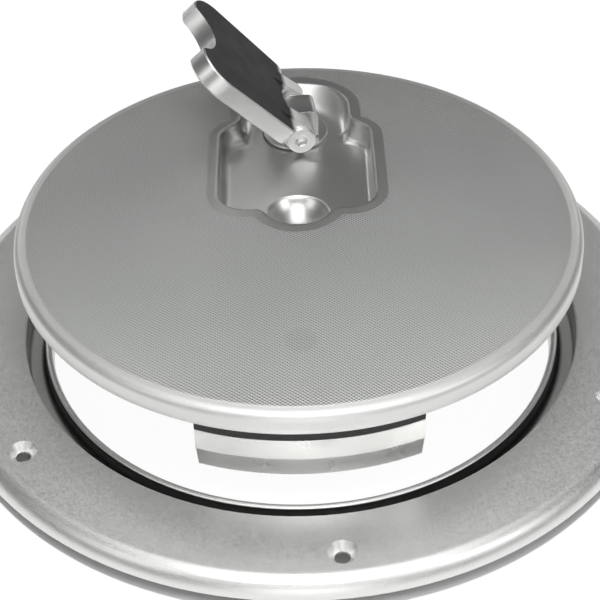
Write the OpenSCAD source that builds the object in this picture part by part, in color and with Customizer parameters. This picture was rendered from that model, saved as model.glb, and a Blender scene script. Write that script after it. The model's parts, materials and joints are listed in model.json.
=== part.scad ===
// Round deck inspection plate: a flanged ring that is screwed to a deck, and a lift-off cover
// with a front tongue, a flush pocket and a folding turn handle that works a latch arm below.
// Z is up. The origin is on the ring's axis, at the underside of its drain channel.
// The cover is drawn as it is held above the ring, with the handle raised and turned.

/* [Ring] */
// Outside diameter of the flange
flange_d = 330; // [310:1:400]
// Diameter of the hole in the flange that the cover drops into
opening_d = 254; // [245:1:258]
// Height of the flange above the deck, which is also the radius of its rolled edge
flange_h = 8; // [6:0.5:12]
// Thickness of the ring's sheet
ring_t = 2; // [1.5:0.1:2.5]
// Depth of the drain channel below the top of the flange
channel_depth = 13; // [11:0.5:18]
// Clear width of the drain channel
channel_w = 8; // [6:0.5:12]
// Width of the raised lip inside the channel
lip_w = 3.6; // [3:0.1:5]
// Depth of the lip's crown below the top of the flange
lip_drop = 4.7; // [3.5:0.1:6]

/* [Deck screws] */
// Number of screw holes
screw_count = 6; // [4:1:8]
// Diameter of the circle of screw holes
screw_pcd = 295; // [285:1:305]
// Angle of the first screw hole
screw_first = 35.5; // [0:0.5:60]
// Diameter of the screw holes
screw_hole_d = 6.6; // [5.5:0.1:8]
// Diameter of the countersinks at the top
sink_d = 12.6; // [10:0.1:14]
// Depth of the countersinks
sink_depth = 3.6; // [2.5:0.1:4.5]

/* [Cover] */
// Height that the cover is held above its closed place
cover_raise = 54; // [40:1:80]
// Running gap round the cover in the ring
cover_gap = 1; // [0.6:0.1:2]
// Height of the cover's turned-down rim
rim_h = 9; // [8:0.5:12]
// Rise of the cover's dome above its rim
crown = 10; // [6:0.5:14]
// Thickness of the cover's sheet
cover_t = 2; // [1.5:0.1:2.5]
// Radius of the rim's rolled edge
rim_roll = 4; // [3:0.5:5]

/* [Pocket] */
// Distance of the handle's spindle behind the middle of the cover
spindle_y = 75; // [70:1:78]
// Width of the pocket at the top
pocket_w = 71; // [69:1:90]
// Reach of the pocket in front of the spindle
pocket_front = 78; // [76:1:84]
// Gap between the spindle's axis and the pocket's straight back wall
pocket_back = 8; // [4:0.5:9]
// Radius of the pocket's corners
pocket_corner = 12; // [8:1:16]
// Radius of the round end of the pocket
bulge_r = 25; // [24.8:0.2:28]
// Slope of the round end's back wall, as run over rise
bulge_slope = 1.2; // [0.2:0.1:1.5]
// Height of the pocket's floor above the bottom of the rim
floor_h = 3.9; // [3:0.1:5]
// Radius of the fillet round the pocket's floor
floor_fillet = 4; // [2:0.5:5]
// Radius of the finger dish
dish_r = 15.5; // [12:0.5:18]
// Straight length of the finger dish
dish_len = 9.5; // [4:0.5:14]
// Depth of the finger dish below the pocket's floor
dish_depth = 8.5; // [3:0.5:10]

/* [Handle] */
// Reach of the handle from its pin to its tips
handle_len = 68.5; // [60:0.5:70]
// Width of the handle
handle_w = 67.4; // [60:0.2:68]
// Thickness of the handle
handle_t = 9.6; // [8:0.1:10]
// Radius of the finger notch
notch_r = 20.5; // [16:0.5:22]
// Depth of the finger notch
notch_depth = 10; // [6:0.5:14]
// Outside width of the fork
fork_w = 38; // [34:0.5:42]
// Width of the gap in the fork
fork_gap = 20; // [18:0.5:22]
// Height of the handle's pin above the pocket's floor
pivot_h = 9.3; // [9:0.1:10]
// Angle of the raised handle above level
fold_deg = 48; // [20:1:90]
// Compass angle of the turned handle, 270 when it lies in its pocket
turn_deg = 187.5; // [180:0.5:270]
// Diameter of the handle's pin
pin_d = 8; // [6:0.5:9]
// Diameter of the pin's head
pin_head_d = 13.4; // [11:0.2:14]

/* [Latch] */
// Diameter of the spindle's shank
shank_d = 12; // [10:0.5:13]
// Radial clearance of the spindle and the pin in their bores
fit_gap = 0.05; // [0.02:0.01:0.08]
// Outside diameter of the spindle's housing
housing_d = 18; // [17:0.5:20]
// Diameter of the housing's flange
housing_flange_d = 30.6; // [28:0.2:34]
// Reach of the latch arm from the spindle's axis
arm_len = 50; // [46:0.5:52]
// Thickness of the latch arm
arm_t = 8; // [6:0.5:10]
// Free height between the closed latch arm and the ring
arm_gap = 0.3; // [0.2:0.1:1]
// Width across the flats of the housing nut
housing_nut_af = 27; // [26:1:30]

/* [Tongue] */
// Half of the width of the front tongue
tongue_half = 47.2; // [36:0.2:54]
// Distance that the centre of the tongue's curve lies behind the ring's axis
tongue_back = 10; // [0:0.5:12]
// Angle that the tongue is turned about the cover's middle
tongue_turn = 1.4; // [-3:0.1:3]
// Gap between the middle of the tongue and the lip when the cover is closed
tongue_gap = 1.4; // [1:0.1:2.5]
// Depth of the tongue's tip below the bottom of the rim
tongue_drop = 36.7; // [28:0.1:42]
// Thickness of the tongue's plate
tongue_t = 3; // [2.5:0.1:4]
// Distance of the tongue's stud from the middle of the cover
stud_r = 86; // [82:1:92]

/* [Hidden] */
$fn = 96;

// The general clearance between pieces that move past each other
play = 0.3;
// The small clearance between pieces of one body that are slipped together
slip = 0.1;
// The overshoot of a cut past the faces that it goes through
over = 1;
// The height of the thin discs that a rounded shape is drawn over
slice = 0.01;

// Heights in the ring
channel_z = ring_t;
flange_z = channel_z + channel_depth;
deck_z = flange_z - flange_h;
lip_z = flange_z - lip_drop;
// Radii in the ring
opening_r = opening_d / 2;
lip_out_r = opening_r - channel_w;
lip_in_r = lip_out_r - lip_w;

// The cover's own heights are counted from the bottom of its rim
cover_r = opening_r - cover_gap;
closed_z = flange_z - rim_h + play;
cover_z = closed_z + cover_raise;
lip_local = lip_z - closed_z;
roll_r = cover_r - rim_roll;
roll_z = dome(roll_r) - rim_roll;
floor_under = floor_h - cover_t;
dish_under = floor_under - dish_depth;
dish_front = 3.5;
bulge_front = 2.5;
bulge_fillet = 3;
pivot_z = floor_h + pivot_h;

// The stack on the spindle, from the pocket's floor upwards
gasket_t = 0.6;
housing_flange_t = 1.2;
housing_top = floor_h + gasket_t + housing_flange_t;
thrust_t = 0.5;
head_bottom = housing_top + thrust_t + play;
head_rear = 10;
head_front = 6.5;
head_top = 7;
friction_t = 2.2;
head_v = fork_gap - 2 * (friction_t + play);
boss_r = 7;
pin_head_t = 1.6;
// The stack below the pocket's floor, from the top downwards
stop_plate_t = 1.2;
washer_t = 1.2;
arm_top = -closed_z - arm_gap;
bearing_t = 0.8;
housing_washer_r = 14;
housing_end = arm_top + bearing_t + play;
housing_nut_top = floor_under - stop_plate_t - washer_t;
arm_bottom = arm_top - arm_t;
spring_t = 1.4;
nut_h = 8;
thread_r = 5;
drive_w = 8.4;
spring_r = 10;
arm_nut_af = 17;
arm_nut_top = arm_bottom - spring_t - washer_t;
thread_end = 2;
spindle_end = arm_nut_top - nut_h - thread_end;
// The latch arm's stop
stop_r = 19;
stop_pin_r = 2;
stop_pin_reach = 4.5;
ear_w = 4;
ear_h = 6;
turn_travel = 90;
stop_half_deg = asin((stop_pin_r + ear_w / 2 + play) / stop_r);

// The tongue
tongue_out_r = lip_in_r - tongue_gap;
tongue_half_deg = asin(tongue_half / (tongue_out_r + tongue_back));
pad_t = 1.2;
pad_bottom = -15.1;
ridge_z = -26.5;
tip_in = 2;
stud_d = 8;
stud_len = 11;
stud_washer_t = 1.6;
stud_nut_af = 13;
stud_nut_h = 6.5;
leg_t = 2.5;
leg_in_r = stud_r - 9;
leg_out_r = tongue_out_r - pad_t - tongue_t;
leg_in_z = dome(leg_in_r) - cover_t - play - leg_t;
leg_out_z = dome(tongue_out_r - pad_t) - cover_t - play - leg_t;

// Height of the dome's top face at a distance r from the axis
function dome(r) = rim_h + crown * (1 - pow(r / cover_r, 2));

// Points of an arc about c, from angle a to angle b
function arc(c, r, a, b, n) = [for (i = [0:n])
    let (t = a + (b - a) * i / n) [c[0] + r * cos(t), c[1] + r * sin(t)]];

// Places its children on the cover
module on_cover() {
    translate([0, 0, cover_z]) children();
}

// Places its children on the spindle's axis, turned with the handle
module on_spindle() {
    on_cover() translate([0, spindle_y, 0]) rotate([0, 0, turn_deg]) children();
}

// Places its children on the raised handle, with its pin along Y and its reach along X
module on_handle() {
    on_spindle() translate([0, 0, pivot_z]) rotate([0, -fold_deg, 0]) children();
}

// A ring of rectangular section
module washer(outer, inner, bottom, height) {
    translate([0, 0, bottom]) difference() {
        cylinder(r = outer, h = height);
        translate([0, 0, -over]) cylinder(r = inner, h = height + 2 * over);
    }
}

// A six-sided nut with a round bore
module hex_nut(flats, inner, bottom, height) {
    translate([0, 0, bottom]) difference() {
        cylinder(d = flats / cos(30), h = height, $fn = 6);
        translate([0, 0, -over]) cylinder(r = inner, h = height + 2 * over);
    }
}

// Places its children at each screw hole, on top of the flange
module at_screws() {
    for (i = [0:screw_count - 1])
        rotate([0, 0, screw_first + i * 360 / screw_count])
            translate([screw_pcd / 2, 0, flange_z]) children();
}

// Section of the ring: rolled edge, flange, drain channel and raised lip
module ring_section() {
    flange_r = flange_d / 2;
    roll_c = [flange_r - flange_h, deck_z];
    edge = 0.6;
    bend = 1.5;
    wall_r = opening_r + ring_t;
    polygon(concat(
        arc(roll_c, flange_h, 0, 90, 14),
        arc([opening_r + edge, flange_z - edge], edge, 90, 180, 4),
        arc([opening_r - bend, channel_z + bend], bend, 0, -90, 5),
        arc([lip_out_r + bend, channel_z + bend], bend, -90, -180, 5),
        arc([lip_in_r + lip_w / 2, lip_z - lip_w / 2], lip_w / 2, 0, 180, 12),
        [[lip_in_r, 0]],
        arc([wall_r - ring_t, ring_t], ring_t, -90, 0, 5),
        [[wall_r, flange_z - ring_t]],
        arc(roll_c, flange_h - ring_t, 90, 0, 12)
    ));
}

module frame_ring() {
    skin = 1;
    foot = 1.8;
    rim = 2;
    color("silver") difference() {
        union() {
            rotate_extrude($fn = 180) ring_section();
            at_screws() translate([0, 0, -sink_depth - skin])
                cylinder(r1 = screw_hole_d / 2 + foot, r2 = sink_d / 2 + rim, h = sink_depth);
        }
        at_screws() {
            translate([0, 0, -sink_depth])
                cylinder(d1 = screw_hole_d, d2 = sink_d, h = sink_depth);
            cylinder(d = sink_d, h = over);
            translate([0, 0, -sink_depth - skin - over])
                cylinder(d = screw_hole_d, h = sink_depth + skin + over);
        }
    }
}

// Section of the domed cover with its rolled and turned-down rim
module cover_section() {
    steps = 14;
    tip = 0.4;
    polygon(concat(
        [for (i = [0:steps]) let (r = roll_r * i / steps) [r, dome(r)]],
        arc([roll_r, roll_z], rim_roll, 84, 0, 7),
        [[cover_r, tip], [cover_r - tip, 0], [cover_r - cover_t + tip, 0], [cover_r - cover_t, tip]],
        arc([roll_r, roll_z], rim_roll - cover_t, 0, 84, 5),
        [for (i = [steps:-1:0]) let (r = roll_r * i / steps) [r, dome(r) - cover_t]]
    ));
}

// The rectangular part of the pocket, grown by g, with a rounded edge round its floor
module pocket_block(g, top) {
    half = pocket_w / 2;
    draft = 1.2;
    bend = floor_fillet + g;
    hull() for (a = [0, 22.5, 45, 67.5, 90, 91]) {
        inset = a > 90 ? -g : bend * (1 - sin(a)) + draft - g;
        height = a > 90 ? top : floor_h - g + bend * (1 - cos(a));
        corner = max(pocket_corner - inset, 1);
        for (x = [-1, 1], y = [spindle_y - pocket_front, spindle_y - pocket_back])
            translate([x * (half - pocket_corner), y < spindle_y / 2
                ? y + pocket_corner : y - pocket_corner, height])
                cylinder(r = corner, h = slice, $fn = 32);
    }
}

// The round end of the pocket, grown by g, with a back wall that slopes out to the top
module pocket_bulge(g, top) {
    bend = bulge_fillet + g;
    translate([0, spindle_y - bulge_front, 0]) hull() {
        for (a = [0, 22.5, 45, 67.5, 90])
            translate([0, 0, floor_h - g + bend * (1 - cos(a))])
                cylinder(r = bulge_r + g - bend * (1 - sin(a)), h = slice, $fn = 64);
        for (back = [0, bulge_slope * (top - floor_h)])
            translate([0, back, top]) cylinder(r = bulge_r + g, h = slice, $fn = 64);
    }
}

// Section of the finger dish, grown by g: a shallow bowl below steep walls
function dish_points(g, top) =
    let (half = dish_r - 1, r = (half * half + dish_depth * dish_depth) / (2 * dish_depth))
    concat([[0, top]], arc([0, floor_h - dish_depth + r], r + g, -90, asin(half / r) - 90, 8),
        [[dish_r + g, top]]);

// The finger dish in front of the pocket, grown by g
module finger_dish(g, top) {
    front = spindle_y - pocket_front + dish_front;
    points = dish_points(g, top);
    for (y = [front, front + dish_len])
        translate([0, y, 0]) rotate_extrude() polygon(points);
    translate([0, front + dish_len, 0]) rotate([90, 0, 0]) linear_extrude(height = dish_len)
        for (side = [0, 1]) mirror([side, 0]) polygon(points);
}

module cover_plate() {
    clear_top = rim_h + crown + over;
    color("silver") on_cover() difference() {
        union() {
            rotate_extrude($fn = 180) cover_section();
            intersection() {
                union() {
                    pocket_block(cover_t, clear_top);
                    pocket_bulge(cover_t, clear_top);
                    finger_dish(cover_t, clear_top);
                }
                rotate_extrude($fn = 180) polygon(concat(
                    [for (i = [0:14]) let (r = roll_r * i / 14) [r, dome(r) - cover_t / 2]],
                    [[roll_r, dish_under], [0, dish_under]]
                ));
            }
        }
        pocket_block(0, clear_top);
        pocket_bulge(0, clear_top);
        finger_dish(0, clear_top);
        translate([0, spindle_y, floor_under - over])
            cylinder(d = housing_d + play, h = cover_t + 2 * over);
    }
}

// Rubber ring under the cover that comes down on the raised lip
module cover_gasket() {
    inner_gap = 0.5;
    overhang = 1.3;
    inner = tongue_out_r + inner_gap;
    outer = lip_out_r + overhang;
    bottom = lip_local + play;
    color("dimgray") on_cover() rotate_extrude($fn = 180) polygon([
        [inner, bottom], [outer, bottom],
        [outer, dome(outer) - cover_t - play], [inner, dome(inner) - cover_t - play]]);
}

// Section of the tongue: a leg under the dome, a skirt and a tip that slopes inwards
module tongue_section() {
    r = tongue_out_r;
    s = r - pad_t;
    ledge = 0.4;
    crease_in = 0.3;
    crease_up = 0.8;
    translate([tongue_back, 0]) polygon([
        [leg_in_r, leg_in_z + leg_t],
        [s, leg_out_z + leg_t],
        [s, pad_bottom],
        [r, pad_bottom - ledge],
        [r, ridge_z + crease_up],
        [r - crease_in, ridge_z],
        [r - tip_in, -tongue_drop],
        [r - tip_in - tongue_t, -tongue_drop],
        [r - tongue_t - crease_in, ridge_z],
        [leg_out_r, pad_bottom],
        [leg_out_r, leg_out_z],
        [leg_in_r, leg_in_z]
    ]);
}

// The part of a turned section that the front tongue spans
module front_slice() {
    rotate([0, 0, tongue_turn]) translate([0, tongue_back, 0])
        rotate([0, 0, -90 - tongue_half_deg])
            rotate_extrude(angle = 2 * tongue_half_deg, $fn = 180) children();
}

module front_tongue() {
    color("silver") on_cover() difference() {
        front_slice() tongue_section();
        translate([0, -stud_r, 0]) cylinder(d = stud_d + 4 * slip, h = rim_h + crown);
    }
}

module tongue_pad() {
    color("black") on_cover() front_slice() translate([tongue_back, 0]) polygon([
        [tongue_out_r - pad_t, pad_bottom], [tongue_out_r, pad_bottom],
        [tongue_out_r, lip_local - play], [tongue_out_r - pad_t, lip_local - play]]);
}

// Height of the tongue's leg's underside where the stud's washer meets it
leg_under = leg_in_z + (leg_out_z - leg_in_z) * (stud_r + stud_d - leg_in_r) / (leg_out_r - leg_in_r);

module tongue_stud() {
    top = dome(stud_r + stud_d / 2) - cover_t;
    color("silver") on_cover() translate([0, -stud_r, leg_under - stud_len])
        cylinder(d = stud_d, h = top - leg_under + stud_len);
}

module tongue_washer() {
    color("silver") on_cover() translate([0, -stud_r, 0])
        washer(stud_d, stud_d / 2 + 2 * slip, leg_under - stud_washer_t, stud_washer_t);
}

module tongue_nut() {
    color("silver") on_cover() translate([0, -stud_r, 0])
        hex_nut(stud_nut_af, stud_d / 2, leg_under - stud_washer_t - stud_nut_h, stud_nut_h);
}

// A rounded plate corner with bevelled edges, for the handle's outline
module handle_corner(x, y, r) {
    bevel = 0.8;
    translate([x, y, -handle_t / 2]) {
        translate([0, 0, bevel]) cylinder(r = r, h = handle_t - 2 * bevel, $fn = 48);
        cylinder(r = r - bevel, h = handle_t, $fn = 48);
    }
}

module turn_handle() {
    tip_r = 14;
    rear_r = 4;
    rear_u = 9;
    rear_taper = 4.5;
    pin_fit = 0.02;
    slot_u = fork_gap / 2 - 6;
    arm_w = (fork_w - fork_gap) / 2;
    color("dimgray") on_handle() difference() {
        union() {
            hull() for (s = [-1, 1]) {
                handle_corner(handle_len - tip_r, s * (handle_w / 2 - tip_r), tip_r);
                handle_corner(rear_u + rear_r, s * (handle_w / 2 - rear_r - rear_taper), rear_r);
            }
            for (s = [-1, 1]) translate([0, s * (fork_gap + arm_w) / 2, 0]) hull() {
                rotate([90, 0, 0]) cylinder(r = boss_r, h = arm_w, center = true);
                translate([2 * rear_u, -arm_w / 2, -handle_t / 2]) cube([1, arm_w, handle_t]);
            }
        }
        translate([handle_len + notch_r - notch_depth, 0, -handle_t])
            cylinder(r = notch_r, h = 2 * handle_t);
        translate([slot_u, 0, -handle_t]) cylinder(d = fork_gap, h = 2 * handle_t);
        translate([-fork_gap, -fork_gap / 2, -handle_t])
            cube([slot_u + fork_gap, fork_gap, 2 * handle_t]);
        rotate([90, 0, 0]) cylinder(d = pin_d + 2 * pin_fit, h = fork_w + 2 * over, center = true);
    }
}

// Shoulder screw through the fork and the spindle's head, with a six-sided socket
module pivot_pin() {
    socket_af = 5;
    socket_depth = 3.5;
    head_y = fork_w / 2;
    color("gainsboro") on_handle() difference() {
        union() {
            translate([0, head_y, 0]) rotate([90, 0, 0]) cylinder(d = pin_d, h = fork_w);
            translate([0, head_y + pin_head_t, 0]) rotate([90, 0, 0])
                cylinder(d = pin_head_d, h = pin_head_t);
        }
        translate([0, head_y + pin_head_t + over, 0]) rotate([90, 0, 0])
            cylinder(d = socket_af / cos(30), h = socket_depth + over, $fn = 6);
    }
}

// Friction washers on the pin, between the spindle's head and the fork
module fork_washers() {
    outer = 6;
    color("whitesmoke") on_spindle() translate([0, 0, pivot_z]) for (s = [0, 1])
        rotate([s * 180 - 90, 0, 0]) washer(outer, pin_d / 2 + fit_gap, head_v / 2, friction_t);
}

module spindle() {
    front_round = 2;
    rear_round = 3.5;
    groove_depth = 1.65;
    groove_w = 2;
    color("silver") on_spindle() difference() {
        union() {
            translate([0, head_v / 2, pivot_z]) rotate([90, 0, 0])
                linear_extrude(height = head_v) polygon(concat(
                    arc([head_front - front_round, head_top - front_round], front_round, 0, 90, 6),
                    arc([rear_round - head_rear, head_top - rear_round], rear_round, 90, 180, 8),
                    [[-head_rear, head_bottom - pivot_z], [head_front, head_bottom - pivot_z]]));
            translate([0, 0, arm_top]) cylinder(d = shank_d, h = head_bottom - arm_top);
            translate([-drive_w / 2, -drive_w / 2, arm_bottom - spring_t])
                cube([drive_w, drive_w, arm_top - arm_bottom + spring_t]);
            translate([0, 0, spindle_end]) cylinder(r = thread_r, h = arm_bottom - spindle_end);
        }
        translate([0, 0, pivot_z]) rotate([90, 0, 0])
            cylinder(d = pin_d + 2 * fit_gap, h = head_v + 2 * over, center = true);
        for (z = o_ring_heights)
            washer(shank_d, shank_d / 2 - groove_depth, z - groove_w / 2, groove_w);
    }
}

// Heights of the two seal rings in the housing
o_ring_heights = [housing_top - 4.5, housing_end + 4];

module spindle_o_rings() {
    cord_r = 0.8;
    color("black") on_spindle() for (z = o_ring_heights) translate([0, 0, z])
        rotate_extrude() translate([shank_d / 2 - cord_r, 0]) circle(r = cord_r, $fn = 24);
}

module thrust_washer() {
    outer = 8.4;
    color("ivory") on_cover() translate([0, spindle_y, 0])
        washer(outer, shank_d / 2 + 2 * slip, housing_top, thrust_t);
}

// Flanged sleeve that carries the spindle, put in from above and clamped by a nut
module spindle_housing() {
    color("silver") on_cover() translate([0, spindle_y, 0]) difference() {
        union() {
            translate([0, 0, housing_top - housing_flange_t])
                cylinder(d = housing_flange_d, h = housing_flange_t);
            translate([0, 0, housing_end]) cylinder(d = housing_d, h = housing_top - housing_end);
        }
        translate([0, 0, housing_end - over])
            cylinder(d = shank_d + 2 * fit_gap, h = housing_top - housing_end + 2 * over);
    }
}

module housing_gasket() {
    bead = 0.4;
    color("black") on_cover() translate([0, spindle_y, 0])
        washer(housing_flange_d / 2 + bead, housing_d / 2 + slip, floor_h, gasket_t);
}

// Plate under the pocket with two turned-down ears that stop the latch arm
module stop_plate() {
    top = floor_under;
    border = 3;
    ear_t = 4;
    color("silver") on_cover() translate([0, spindle_y, 0]) {
        washer(stop_r + border, housing_d / 2 + slip, top - stop_plate_t, stop_plate_t);
        for (a = [180 - stop_half_deg, 180 + turn_travel + stop_half_deg])
            rotate([0, 0, a]) translate([stop_r - ear_t / 2, -ear_w / 2, top - ear_h])
                cube([ear_t, ear_w, ear_h - stop_plate_t]);
    }
}

module housing_washer() {
    color("silver") on_cover() translate([0, spindle_y, 0])
        washer(housing_washer_r, housing_d / 2 + slip, housing_nut_top, washer_t);
}

module housing_nut() {
    color("silver") on_cover() translate([0, spindle_y, 0])
        hex_nut(housing_nut_af, housing_d / 2, housing_end, housing_nut_top - housing_end);
}

module arm_bearing() {
    color("ivory") on_spindle() washer(housing_d / 2, shank_d / 2 + slip, arm_top, bearing_t);
}

// Places its children on the latch arm, which reaches along X
module on_arm() {
    on_spindle() rotate([0, 0, 180]) children();
}

module latch_arm() {
    hub_r = 12;
    tail_r = 5;
    tip_w = 20;
    ramp_deg = 10;
    bore_w = drive_w + slip;
    color("silver") on_arm() difference() {
        union() {
            translate([0, 0, arm_bottom]) cylinder(r = hub_r, h = arm_t);
            translate([-stop_r, 0, arm_bottom]) cylinder(r = tail_r, h = arm_t);
            translate([-stop_r, -tail_r, arm_bottom]) cube([stop_r, 2 * tail_r, arm_t]);
            translate([0, -tip_w / 2, arm_bottom]) cube([arm_len - tip_w / 2, tip_w, arm_t]);
            translate([arm_len - tip_w / 2, 0, arm_bottom]) cylinder(d = tip_w, h = arm_t);
        }
        translate([arm_len - tip_w, 0, arm_top]) rotate([-ramp_deg, 0, 0])
            cube([tip_w + over, tip_w, arm_t]);
        translate([-bore_w / 2, -bore_w / 2, arm_bottom - over])
            cube([bore_w, bore_w, arm_t + 2 * over]);
        translate([-stop_r, 0, arm_bottom - over]) cylinder(r = stop_pin_r, h = arm_t + 2 * over);
    }
}

module stop_pin() {
    color("silver") on_arm() translate([-stop_r, 0, arm_bottom])
        cylinder(r = stop_pin_r, h = arm_t + stop_pin_reach);
}

// Coned spring washer that keeps the arm and the spindle without shake
module spring_washer() {
    inner = drive_w / sqrt(2) + 2 * slip;
    edge_t = 0.8;
    lift = 0.5;
    color("silver") on_spindle() translate([0, 0, arm_bottom - spring_t]) rotate_extrude()
        polygon([[inner, lift], [spring_r, 0], [spring_r, edge_t], [inner, spring_t]]);
}

module arm_washer() {
    color("silver") on_spindle() washer(spring_r, thread_r + slip, arm_nut_top, washer_t);
}

module arm_nut() {
    color("silver") on_spindle() hex_nut(arm_nut_af, thread_r, arm_nut_top - nut_h, nut_h);
}

frame_ring();
cover_plate();
cover_gasket();
front_tongue();
tongue_pad();
tongue_stud();
tongue_washer();
tongue_nut();
turn_handle();
pivot_pin();
fork_washers();
spindle();
spindle_o_rings();
thrust_washer();
spindle_housing();
housing_gasket();
stop_plate();
housing_washer();
housing_nut();
arm_bearing();
latch_arm();
stop_pin();
spring_washer();
arm_washer();
arm_nut();
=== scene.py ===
"""Looks of the deck inspection plate: finishes, the pressed cover, studio and camera."""

import json
import math

import bmesh
import bpy
from mathutils import Matrix, Vector


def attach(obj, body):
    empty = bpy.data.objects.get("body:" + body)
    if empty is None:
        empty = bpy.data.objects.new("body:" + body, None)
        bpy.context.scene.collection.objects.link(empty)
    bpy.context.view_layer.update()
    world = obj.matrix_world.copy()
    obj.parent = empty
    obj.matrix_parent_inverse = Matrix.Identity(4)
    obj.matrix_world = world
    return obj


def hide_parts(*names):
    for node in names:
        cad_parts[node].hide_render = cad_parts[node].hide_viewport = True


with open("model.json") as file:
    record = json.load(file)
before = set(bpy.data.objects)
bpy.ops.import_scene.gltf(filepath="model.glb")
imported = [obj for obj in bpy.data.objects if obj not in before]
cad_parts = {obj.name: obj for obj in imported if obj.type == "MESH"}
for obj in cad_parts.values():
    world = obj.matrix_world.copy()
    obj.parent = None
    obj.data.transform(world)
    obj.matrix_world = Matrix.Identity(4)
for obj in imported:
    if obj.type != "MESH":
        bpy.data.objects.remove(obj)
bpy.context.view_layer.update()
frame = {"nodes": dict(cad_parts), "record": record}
nodes = frame["nodes"]


def mm(value):
    """Millimetres as metres."""
    return value / 1000


# Sizes of the plate, in millimetres. Heights on the cover count from the bottom of its rim.
FLANGE_TOP = 15.0
LIP_RADIUS = 119.0
RING_INSIDE, RING_OUTSIDE = 120.0, 164.0
COVER_RADIUS = 126.0
COVER_BOTTOM = 60.3
RIM_HEIGHT, CROWN = 9.0, 10.0
ROLL_RADIUS = 4.0
SHEET = 2.0
SPINDLE_Y = 75.0
SPINDLE_HOLE = 9.15
POCKET_HALF_WIDTH, POCKET_FRONT, POCKET_BACK, POCKET_CORNER = 34.8, -3.0, 67.0, 12.0
ROUND_END_RADIUS, ROUND_END_Y, ROUND_END_RUN = 25.2, 72.5, 9.5
DISH_RADIUS, DISH_FRONT, DISH_BACK, DISH_DEPTH = 15.5, 0.5, 10.0, 8.5
FLOOR_HEIGHT = 3.9
DIAMOND_WIDTH, DIAMOND_LENGTH, DIAMOND_DEPTH = 2.0, 1.5, 0.3
PLAIN_RIM_START, PLAIN_RIM_END = 119.5, 121.0
PLAIN_POCKET_START, PLAIN_POCKET_END = 5.0, 6.5
WELD_MARK_Y = -86.0
PIN_HEIGHT, HANDLE_TOP = 73.5, 4.8
HANDLE_TURN, HANDLE_FOLD = math.radians(187.5), math.radians(48)


# Finishes


class Socket:
    """An output socket whose arithmetic adds Math nodes."""

    def __init__(self, paint, socket):
        self.paint = paint
        self.socket = socket

    def math(self, operation, *values):
        return self.paint.node("ShaderNodeMath", {"operation": operation}, *values)

    def __add__(self, other):
        return self.math("ADD", self, other)

    __radd__ = __add__

    def __sub__(self, other):
        return self.math("SUBTRACT", self, other)

    def __rsub__(self, other):
        return self.math("SUBTRACT", other, self)

    def __mul__(self, other):
        return self.math("MULTIPLY", self, other)

    __rmul__ = __mul__

    def __truediv__(self, other):
        return self.math("DIVIDE", self, other)

    def __pow__(self, other):
        return self.math("POWER", self, other)

    def __abs__(self):
        return self.math("ABSOLUTE", self)

    def above(self, other):
        return self.math("MAXIMUM", self, other)

    def below(self, other):
        return self.math("MINIMUM", self, other)


class Finish:
    """A node material with one Principled shader."""

    def __init__(self, name, **uniform):
        self.material = bpy.data.materials.new(name)
        self.material.use_nodes = True
        self.tree = self.material.node_tree
        self.tree.nodes.clear()
        self.out = self.tree.nodes.new("ShaderNodeOutputMaterial")
        self.shader = self.tree.nodes.new("ShaderNodeBsdfPrincipled")
        self.tree.links.new(self.shader.outputs[0], self.out.inputs[0])
        for key, value in uniform.items():
            self.shader.inputs[key.replace("_", " ").title()].default_value = value

    def node(self, kind, settings, *values, output=0, **named):
        """Adds a node: its settings first, then the values or links of its sockets."""
        made = self.tree.nodes.new(kind)
        for key, value in settings.items():
            if key == "stops":
                ramp = made.color_ramp
                while len(ramp.elements) < len(value):
                    ramp.elements.new(0.5)
                for element, (position, grey) in zip(ramp.elements, value):
                    element.position, element.color = position, (grey, grey, grey, 1)
            else:
                setattr(made, key, value)
        inputs = list(enumerate(values)) + [(k.replace("_", " "), v) for k, v in named.items()]
        for key, value in inputs:
            self.put(made.inputs[key], value)
        return Socket(self, made.outputs[output])

    def put(self, target, value):
        if isinstance(value, Socket):
            self.tree.links.new(value.socket, target)
        else:
            target.default_value = value

    def feed(self, name, value):
        self.put(self.shader.inputs[name], value)

    def place(self):
        """Object coordinates, as a vector in metres."""
        return self.node("ShaderNodeTexCoord", {}, output="Object")

    def place_mm(self, place):
        """The three object coordinates in millimetres."""
        return self.split(self.stretched(place, 1000, 1000, 1000))

    def split(self, vector):
        made = self.tree.nodes.new("ShaderNodeSeparateXYZ")
        self.put(made.inputs[0], vector)
        return [Socket(self, made.outputs[i]) for i in range(3)]

    def stretched(self, vector, x, y, z):
        return self.node("ShaderNodeVectorMath", {"operation": "MULTIPLY"}, vector, (x, y, z))

    def noise(self, vector, scale, detail=2.0, roughness=0.5):
        sizes = {"Scale": scale, "Detail": detail, "Roughness": roughness}
        return self.node("ShaderNodeTexNoise", {}, Vector=vector, **sizes)

    def step(self, value, low, high, start=0.0, end=1.0):
        """A smooth change from start to end as value goes from low to high."""
        return self.node(
            "ShaderNodeMapRange",
            {"interpolation_type": "SMOOTHSTEP"},
            Value=value,
            From_Min=low,
            From_Max=high,
            To_Min=start,
            To_Max=end,
        )

    def greys(self, factor, first, second):
        """A neutral colour between two levels, a little warm as steel is."""
        made = self.tree.nodes.new("ShaderNodeMix")
        made.data_type = "RGBA"
        self.put(made.inputs[0], factor)
        for index, level in ((6, first), (7, second)):
            made.inputs[index].default_value = (level, level, level * 0.985, 1)
        return Socket(self, made.outputs[2])

    def bump(self, height, distance, strength=1.0):
        sizes = {"Strength": strength, "Distance": distance}
        self.feed("Normal", self.node("ShaderNodeBump", {}, **sizes, Height=height))


def outside_stadium(x, y, radius, start, end):
    """Distance in millimetres outside a round-ended slot that runs along Y."""
    half = (end - start) / 2
    past_end = (abs(y - (start + half)) - half).above(0.0)
    return (x * x + past_end * past_end) ** 0.5 - radius


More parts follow.
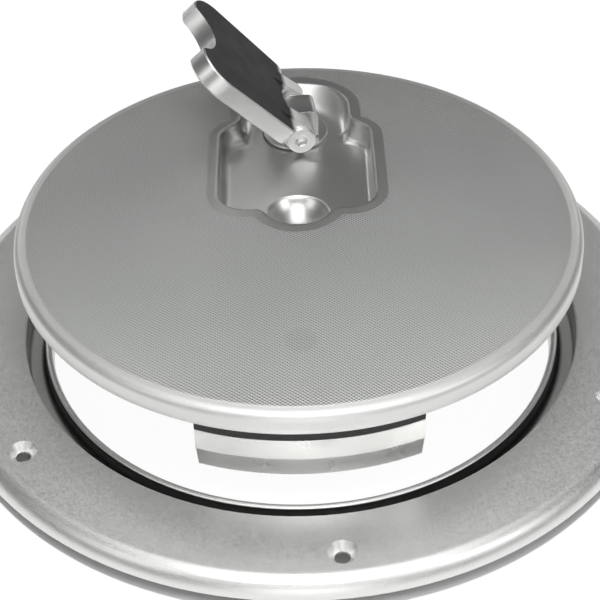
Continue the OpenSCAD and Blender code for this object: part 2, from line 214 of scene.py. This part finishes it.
def outside_pocket(x, y):
    """Distance in millimetres outside the pocket, its round end and its finger dish."""
    middle = (POCKET_FRONT + POCKET_BACK) / 2
    dx = (abs(x) - (POCKET_HALF_WIDTH - POCKET_CORNER)).above(0.0)
    dy = (abs(y - middle) - (POCKET_BACK - middle - POCKET_CORNER)).above(0.0)
    block = (dx * dx + dy * dy) ** 0.5 - POCKET_CORNER
    round_end = outside_stadium(
        x, y, ROUND_END_RADIUS, ROUND_END_Y, ROUND_END_Y + ROUND_END_RUN
    )
    dish = outside_stadium(x, y, DISH_RADIUS, DISH_FRONT, DISH_BACK)
    return block.below(round_end).below(dish)


def satin_steel(name):
    """Satin steel of the ring, with a fine grain; the lip's outer wall is darkened with painted
    shade.
    """
    finish = Finish(name, metallic=1.0)
    place = finish.place()
    x, y, z = finish.place_mm(place)
    radius = (x * x + y * y) ** 0.5
    # Painted shade: the lip's outer wall is darkened to stand for its occlusion and its dark
    # reflection of the cover's underside.
    past_lip = finish.step(radius, LIP_RADIUS - 0.6, LIP_RADIUS - 0.3)
    painted_lip_shade = past_lip * finish.step(radius, LIP_RADIUS + 1.0, LIP_RADIUS + 3.0, 1.0, 0.0)
    grain = finish.noise(place, 1100.0, 3.0, 0.6)
    cloud = finish.noise(place, 16.0, 2.0, 0.5)
    shade = (grain * 0.6 + cloud * 0.4) * (1.0 - painted_lip_shade)
    finish.feed("Base Color", finish.greys(shade * 0.3 + (1.0 - painted_lip_shade) * 0.7, 0.06, 1.0))
    finish.feed("Roughness", finish.step(grain, 0.3, 0.7, 0.38, 0.5))
    finish.bump(grain, mm(0.03), 0.6)
    return finish.material


def diamond_steel(name):
    """The cover's satin steel: small embossed diamonds, and plain borders at rim and pocket."""
    finish = Finish(name, metallic=1.0)
    place = finish.place()
    x, y, z = finish.place_mm(place)
    grain = finish.noise(place, 1100.0, 3.0, 0.6)
    cloud = finish.noise(place, 16.0, 2.0, 0.5)
    u = (x / DIAMOND_WIDTH + y / DIAMOND_LENGTH) * math.pi
    v = (x / DIAMOND_WIDTH - y / DIAMOND_LENGTH) * math.pi
    diamonds = abs(u.math("SINE", u)) * abs(v.math("SINE", v))
    radius = (x * x + y * y) ** 0.5
    plain_rim = finish.step(radius, PLAIN_RIM_START, PLAIN_RIM_END)
    from_pocket = outside_pocket(x, y)
    past_pocket = finish.step(from_pocket, PLAIN_POCKET_START, PLAIN_POCKET_END)
    pressed = finish.step(from_pocket, -1.0, 1.0, 1.0, 0.0)
    top = finish.step(z, COVER_BOTTOM + RIM_HEIGHT - 1.0, COVER_BOTTOM + RIM_HEIGHT)
    pattern = (1.0 - plain_rim) * past_pocket * top
    from_weld = (x * x + (y - WELD_MARK_Y) * (y - WELD_MARK_Y)) ** 0.5
    weld = finish.step(from_weld, 5.5, 7.5, 1.0, 0.0) * pattern
    speckle = (grain * 0.6 * (1.0 - pressed * 0.7) + cloud * 0.4) * 0.5
    shade = speckle - weld * 0.08 + plain_rim * 0.5 + pressed * 0.45
    finish.feed("Base Color", finish.greys(shade, 0.44, 0.92))
    grained = finish.step(grain, 0.3, 0.7, 0.38, 0.5) + plain_rim * 0.08
    smoother = finish.step(cloud, 0.3, 0.7, 0.33, 0.38)
    finish.feed("Roughness", grained * (1.0 - pressed) + pressed * smoother)
    height = diamonds * pattern + grain * 0.06 * (1.0 - pressed)
    finish.bump(height, mm(DIAMOND_DEPTH), 0.8)
    return finish.material


def bright_steel(name, tone=0.92, roughness=0.3):
    """Smooth steel of the turned and formed small pieces."""
    finish = Finish(name, metallic=1.0)
    cloud = finish.noise(finish.place(), 60.0, 3.0, 0.5)
    finish.feed("Base Color", finish.greys(cloud, tone - 0.04, tone + 0.04))
    finish.feed("Roughness", finish.step(cloud, 0.3, 0.7, roughness - 0.03, roughness + 0.05))
    return finish.material


def rubber(name, tone=0.045):
    """Matt rubber of the gaskets and seal rings, and of the tongue pad, a black strip of
    painted shade that stands for the shadow under the cover's rim on the tongue.
    """
    finish = Finish(name, roughness=0.7)
    grain = finish.noise(finish.place(), 1500.0, 2.0, 0.5)
    finish.feed("Base Color", finish.greys(grain, tone * 0.7, tone * 1.3))
    finish.bump(grain, mm(0.03), 0.4)
    return finish.material


def nylon(name):
    """Off-white bearing nylon."""
    finish = Finish(name)
    grain = finish.noise(finish.place(), 800.0, 2.0, 0.5)
    finish.feed("Base Color", finish.greys(grain, 0.74, 0.8))
    finish.feed("Roughness", finish.step(grain, 0.3, 0.7, 0.4, 0.5))
    return finish.material


def satin_handle(name):
    """Satin handle: its broad top face carries a painted dark reflection; its walls, edges and
    fork are bright.
    """
    finish = Finish(name)
    finish.shader.inputs["Specular IOR Level"].default_value = 0.03
    cloud = finish.noise(finish.place(), 90.0, 3.0, 0.5)
    x, y, z = finish.place_mm(finish.place())
    ahead = Vector((math.cos(HANDLE_TURN), math.sin(HANDLE_TURN), 0))
    lift = Vector((0, 0, 1))
    reach = ahead * math.cos(HANDLE_FOLD) + lift * math.sin(HANDLE_FOLD)
    up = lift * math.cos(HANDLE_FOLD) - ahead * math.sin(HANDLE_FOLD)

    def from_pin(way):
        return x * way.x + (y - SPINDLE_Y) * way.y + (z - PIN_HEIGHT) * way.z

    # Painted reflection: the broad top face is coloured dark and non-metallic to stand for the
    # dark surroundings it reflects.
    on_top = finish.step(from_pin(up), HANDLE_TOP - 0.3, HANDLE_TOP - 0.1)
    painted_dark_reflection = on_top * finish.step(from_pin(reach), 9.5, 13.0)
    finish.feed("Base Color", finish.greys(painted_dark_reflection, 0.86, 0.03))
    finish.feed("Metallic", 1.0 - painted_dark_reflection)
    finish.feed("Roughness", finish.step(cloud, 0.3, 0.7, 0.34, 0.42))
    return finish.material


FINISHES = {
    "ring_steel": satin_steel("ring_satin_steel"),
    "cover_steel": diamond_steel("cover_diamond_steel"),
    "bright_steel": bright_steel("polished_steel"),
    "handle_metal": satin_handle("handle_polish"),
    "rubber": rubber("black_rubber"),
    "nylon": nylon("bearing_nylon"),
}
# Pieces that look unlike the rest of their slot
OWN_FINISHES = {
    "spindle": bright_steel("spindle_steel", 0.6, 0.34),
    "housing_gasket": rubber("gasket_rubber", 0.22),
}
record = frame["record"]
slot_of = {row["node"]: row["material_slot"] for row in record["subparts"]}
body_of = {n: body for body, group in record["behaviour"]["bodies"].items() for n in group}


def finish_of(node_name):
    return OWN_FINISHES.get(node_name, FINISHES[slot_of[node_name]])


for name, node in nodes.items():
    node.data.materials.clear()
    node.data.materials.append(finish_of(name))


# Pieces with eased edges


def stand_for(piece, node_name):
    """Shows a finer piece in place of a CAD node."""
    piece.data.materials.append(finish_of(node_name))
    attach(piece, body_of[node_name])
    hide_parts(node_name)


def eased_piece(node_name, width, segments=3, merged=0.5):
    """A copy of a CAD piece with its sharp edges rounded off.

    Faces that meet within merged degrees become one first.
    """
    sharp, smooth = math.radians(32.0), math.radians(38.0)
    shape = bmesh.new()
    shape.from_mesh(nodes[node_name].data)
    bmesh.ops.remove_doubles(shape, verts=shape.verts, dist=mm(0.005))
    bmesh.ops.dissolve_limit(
        shape,
        angle_limit=math.radians(merged),
        use_dissolve_boundaries=False,
        verts=shape.verts,
        edges=shape.edges,
    )

    def angle(edge):
        return edge.calc_face_angle(0) if len(edge.link_faces) == 2 else None

    hard = [e for e in shape.edges if angle(e) is not None and angle(e) > sharp]
    bmesh.ops.bevel(
        shape,
        geom=hard,
        offset=mm(width),
        offset_type="OFFSET",
        segments=segments,
        profile=0.5,
        affect="EDGES",
        material=-1,
        clamp_overlap=True,
    )
    for f in shape.faces:
        f.smooth = True
    for e in shape.edges:
        e.smooth = angle(e) is not None and angle(e) < smooth
    mesh = bpy.data.meshes.new(node_name + "_eased")
    shape.to_mesh(mesh)
    shape.free()
    piece = bpy.data.objects.new(node_name + "_eased", mesh)
    bpy.context.scene.collection.objects.link(piece)
    even = piece.modifiers.new("even_shading", "WEIGHTED_NORMAL")
    even.keep_sharp = True
    stand_for(piece, node_name)


eased_piece("turn_handle", 0.9, 4)
eased_piece("pivot_pin", 0.5)
eased_piece("spindle", 0.5)
eased_piece("front_tongue", 0.5, merged=0.02)
eased_piece("spindle_housing", 0.4)


# The pressed cover


def dome(x, y):
    """Height of the cover's top."""
    return RIM_HEIGHT + CROWN * (1 - (x * x + y * y) / COVER_RADIUS**2)


def blend_max(a, b, reach):
    """The larger of two values, rounded where they are within reach of each other."""
    near = max(reach - abs(a - b), 0.0) / reach
    return max(a, b) + near * near * reach / 4


def inside_stadium(x, y, radius, start, end):
    """Distance inside a round-ended slot that runs along Y."""
    return radius - math.hypot(x, y - min(max(y, start), end))


def inside_pocket(x, y):
    """Distance inside the pocket's outline on the cover's top."""
    middle = (POCKET_FRONT + POCKET_BACK) / 2
    dx = abs(x) - (POCKET_HALF_WIDTH - POCKET_CORNER)
    dy = abs(y - middle) - (POCKET_BACK - middle - POCKET_CORNER)
    block = POCKET_CORNER - math.hypot(max(dx, 0), max(dy, 0)) - min(max(dx, dy), 0)
    round_end = inside_stadium(x, y, ROUND_END_RADIUS, ROUND_END_Y, ROUND_END_Y + ROUND_END_RUN)
    dish = inside_stadium(x, y, DISH_RADIUS, DISH_FRONT, DISH_BACK)
    corner, scoop_corner = 6.0, 4.0
    return blend_max(blend_max(block, round_end, corner), dish, scoop_corner)


def floor_height(x, y):
    """The pocket's floor: flat, hollowed by the finger dish, rising behind the round end."""
    half, slope, foot, dish_edge = DISH_RADIUS - 1, 1.2, 4.0, 1.6
    sphere = (half * half + DISH_DEPTH * DISH_DEPTH) / (2 * DISH_DEPTH)
    off = math.hypot(x, y - min(max(y, DISH_FRONT), DISH_BACK))
    bowl = FLOOR_HEIGHT - DISH_DEPTH + sphere - math.sqrt(max(sphere * sphere - off * off, 0.0))
    low = -blend_max(-FLOOR_HEIGHT, -bowl, dish_edge)
    run = math.hypot(x, y - ROUND_END_Y) - (ROUND_END_RADIUS - 1.7)
    return low + blend_max(run, 0.0, foot) / slope if y > ROUND_END_Y else low


def wall_profile():
    """Rows down the pocket's wall.

    Each row has the length along the wall, the distance inside the outline and the share
    of the depth.
    """
    lip, fillet, depth, draft = 1.0, 3.5, 12.0, 0.1
    lip_steps, fillet_steps = 8, 10
    points = [(-lip - 1.0, 0.0)]
    for i in range(lip_steps + 1):
        a = math.radians(90 * i / lip_steps)
        points.append((-lip + lip * math.sin(a), lip * (1 - math.cos(a))))
    for i in range(fillet_steps + 1):
        a = math.radians(90 * i / fillet_steps)
        x = draft + fillet * (1 - math.cos(a))
        points.append((x, depth - fillet * (1 - math.sin(a))))
    points.append((draft + fillet + 1.0, depth))
    length, rows = 0.0, []
    for i, (x, z) in enumerate(points):
        if i:
            length += math.hypot(x - points[i - 1][0], z - points[i - 1][1])
        rows.append((length, x, z / depth))
    return rows


def look_up(rows, column, length):
    """Reads one column of the wall's rows at a length, in straight lines between them."""
    for low, high in zip(rows, rows[1:]):
        if length <= high[0]:
            t = (length - low[0]) / (high[0] - low[0])
            return low[column] + t * (high[column] - low[column])
    return rows[-1][column]


def press_pocket(shape, rows):
    """Gathers the grid's lines at the pocket's wall and presses the pocket into them."""
    first, last, total = rows[0][1], rows[-1][1], rows[-1][0]
    tick = 0.05
    for v in shape.verts:
        x, y = v.co.x, v.co.y
        inside = inside_pocket(x, y)
        share = 0.0 if inside <= first else 1.0
        if first < inside < last:
            length = (inside - first) / (last - first) * total
            share = look_up(rows, 2, length)
            gx = (inside_pocket(x + tick, y) - inside_pocket(x - tick, y)) / (2 * tick)
            gy = (inside_pocket(x, y + tick) - inside_pocket(x, y - tick)) / (2 * tick)
            move = (look_up(rows, 1, length) - inside) / max(math.hypot(gx, gy), 0.5)
            x, y = x + move * gx, y + move * gy
        top = dome(x, y)
        v.co = (x, y, top - (top - min(floor_height(x, y), top)) * share)


def grown(shape, border):
    """Extrudes a closed border of edges, and returns its new edges and vertices."""
    made = bmesh.ops.extrude_edge_only(shape, edges=border)["geom"]
    verts = [g for g in made if isinstance(g, bmesh.types.BMVert)]
    return [g for g in made if isinstance(g, bmesh.types.BMEdge) and g.is_boundary], verts


def pressed_cover():
    """One sheet: fine round the pocket, then out to the rim, rolled over it and down."""
    shape = bmesh.new()
    across, front, back = 88.0, -24.0, 112.0
    along, middle = back - front, (front + back) / 2
    bmesh.ops.create_grid(shape, x_segments=150, y_segments=232, size=0.5)
    bmesh.ops.scale(shape, verts=shape.verts, vec=(across, along, 1))
    bmesh.ops.translate(shape, verts=shape.verts, vec=(0, middle, 0))
    border = [e for e in shape.edges if e.is_boundary]
    press_pocket(shape, wall_profile())
    axis = Vector((0, SPINDLE_Y))
    in_hole = [
        f for f in shape.faces if (f.calc_center_median().xy - axis).length < SPINDLE_HOLE
    ]
    bmesh.ops.delete(shape, geom=in_hole, context="FACES")
    for v in shape.verts:
        if v.is_boundary and (v.co.xy - axis).length < SPINDLE_HOLE + 2:
            v.co.xy = axis + (v.co.xy - axis).normalized() * SPINDLE_HOLE

    roll_start = COVER_RADIUS - ROLL_RADIUS
    before = set(shape.edges)
    ring, verts = grown(shape, border)
    for v in verts:
        ray = v.co.xy - Vector((0, middle))
        a, b, c = ray.length_squared, middle * ray.y, middle**2 - roll_start**2
        v.co.xy = Vector((0, middle)) + ray * (math.sqrt(b * b - a * c) - b) / a
    spokes = [e for e in shape.edges if e not in before and e not in set(ring)]
    bmesh.ops.subdivide_edges(shape, edges=spokes, cuts=5, use_grid_fill=True)
    for v in shape.verts:
        if max(abs(v.co.x) * 2 / across, abs(v.co.y - middle) * 2 / along) > 1.0001:
            v.co.z = dome(v.co.x, v.co.y)

    outer = [e for e in shape.edges if e.is_boundary]
    ring = [e for e in outer if e.verts[0].co.xy.length > roll_start - 1]
    roll_z = dome(roll_start, 0) - ROLL_RADIUS
    profile = []
    for i in range(1, 7):
        a = math.radians(84 - 14 * i)
        radius = roll_start + ROLL_RADIUS * math.cos(a)
        profile.append((radius, roll_z + ROLL_RADIUS * math.sin(a)))
    profile += [(COVER_RADIUS, 3.0), (COVER_RADIUS, 0.5), (COVER_RADIUS - 0.3, 0.0)]
    for radius, height in profile:
        ring, verts = grown(shape, ring)
        for v in verts:
            v.co.xy = v.co.xy.normalized() * radius
            v.co.z = height
    bmesh.ops.recalc_face_normals(shape, faces=shape.faces)
    if sum(f.normal.z * f.calc_area() for f in shape.faces) < 0:
        bmesh.ops.reverse_faces(shape, faces=shape.faces)
    for f in shape.faces:
        f.smooth = True
    bmesh.ops.translate(shape, verts=shape.verts, vec=(0, 0, COVER_BOTTOM))
    bmesh.ops.scale(shape, verts=shape.verts, vec=(mm(1), mm(1), mm(1)))
    mesh = bpy.data.meshes.new("pressed_cover")
    shape.to_mesh(mesh)
    shape.free()
    cover = bpy.data.objects.new("pressed_cover", mesh)
    bpy.context.scene.collection.objects.link(cover)
    sheet = cover.modifiers.new("sheet", "SOLIDIFY")
    sheet.thickness, sheet.offset = mm(SHEET), -1
    stand_for(cover, "cover_plate")


pressed_cover()


# Studio


def softbox(name, place, size, watts):
    """A square area lamp that points at the plate."""
    target = (0, 0, mm(30))
    lamp = bpy.data.lights.new(name, "AREA")
    lamp.shape = "RECTANGLE"
    lamp.size, lamp.size_y, lamp.energy = size, size, watts
    made = bpy.data.objects.new(name, lamp)
    made.location = place
    made.rotation_mode = "QUATERNION"
    made.rotation_quaternion = (Vector(target) - Vector(place)).to_track_quat("-Z", "Y")
    bpy.context.scene.collection.objects.link(made)


def white_floor():
    """White paper that glows for the camera, but not where it lies under the ring."""
    shape = bmesh.new()
    bmesh.ops.create_grid(shape, x_segments=1, y_segments=1, size=4.0)
    bmesh.ops.translate(shape, verts=shape.verts, vec=(0, 0, mm(-0.5)))
    mesh = bpy.data.meshes.new("floor")
    shape.to_mesh(mesh)
    shape.free()
    floor = bpy.data.objects.new("floor", mesh)
    bpy.context.scene.collection.objects.link(floor)
    paper = Finish("floor_paper", roughness=0.9)
    paper.feed("Base Color", (0.8, 0.8, 0.8, 1))
    glow = paper.tree.nodes.new("ShaderNodeEmission")
    blend = paper.tree.nodes.new("ShaderNodeMixShader")
    seen = paper.node("ShaderNodeLightPath", {}, output="Is Camera Ray")
    mirrored = paper.node("ShaderNodeLightPath", {}, output="Is Glossy Ray")
    through = paper.node("ShaderNodeLightPath", {}, output="Is Transmission Ray")
    glow.inputs["Strength"].default_value = 1.15
    x, y, _ = paper.split(paper.place())
    radius = (x * x + y * y) ** 0.5
    under, half = (RING_INSIDE + RING_OUTSIDE) / 2, (RING_OUTSIDE - RING_INSIDE) / 2
    open_floor = paper.step(abs(radius - mm(under)), mm(half), mm(half + 0.5))
    glowing = seen * 0.8 + mirrored * 0.62 + through * 0.8
    paper.put(blend.inputs[0], glowing * open_floor)
    paper.tree.links.new(paper.shader.outputs[0], blend.inputs[1])
    paper.tree.links.new(glow.outputs[0], blend.inputs[2])
    paper.tree.links.new(blend.outputs[0], paper.out.inputs[0])
    mesh.materials.append(paper.material)


def studio_world(level):
    """An even grey surround that the camera sees as white."""
    world = bpy.data.worlds.new("studio")
    bpy.context.scene.world = world
    world.use_nodes = True
    tree = world.node_tree
    tree.nodes.clear()
    path = tree.nodes.new("ShaderNodeLightPath")
    strength = tree.nodes.new("ShaderNodeMapRange")
    back = tree.nodes.new("ShaderNodeBackground")
    out = tree.nodes.new("ShaderNodeOutputWorld")
    strength.inputs["To Min"].default_value = level
    strength.inputs["To Max"].default_value = 1.0
    tree.links.new(path.outputs["Is Camera Ray"], strength.inputs["Value"])
    tree.links.new(strength.outputs[0], back.inputs["Strength"])
    tree.links.new(back.outputs[0], out.inputs[0])


def photo_camera():
    """The camera that the photograph's measured edges give."""
    distance, elevation, roll = mm(796.7), math.radians(40.276), math.radians(-1.579)
    target = Vector((mm(-0.1), mm(9.0), mm(FLANGE_TOP)))
    back = Vector((0, -math.cos(elevation), math.sin(elevation)))
    right = Vector((1, 0, 0))
    up = back.cross(right)
    across = right * math.cos(roll) + up * math.sin(roll)
    rise = up * math.cos(roll) - right * math.sin(roll)
    lens = bpy.data.cameras.new("camera")
    lens.sensor_width, lens.lens = 36, 102
    lens.clip_start, lens.clip_end = 0.01, 20
    camera = bpy.data.objects.new("camera", lens)
    turn = Matrix((across, rise, back)).transposed().to_4x4()
    camera.matrix_world = Matrix.Translation(target + back * distance) @ turn
    bpy.context.scene.collection.objects.link(camera)
    bpy.context.scene.camera = camera


white_floor()
studio_world(0.14)
softbox("front_top", (0.0, -0.5, 1.1), 0.5, 5.0)
softbox("overhead", (0.0, 0.1, 1.3), 0.8, 4.2)
softbox("left", (-0.8, -0.6, 0.8), 0.5, 1.5)
softbox("right", (0.8, -0.6, 0.8), 0.5, 2.6)
softbox("low_front", (0.0, -1.2, 0.35), 0.6, 2.4)
softbox("back_left", (-0.8, 1.1, 0.62), 0.4, 1.2)
softbox("back_right", (0.8, 1.1, 0.62), 0.4, 1.2)
photo_camera()
bpy.context.scene.view_settings.view_transform = "Standard"
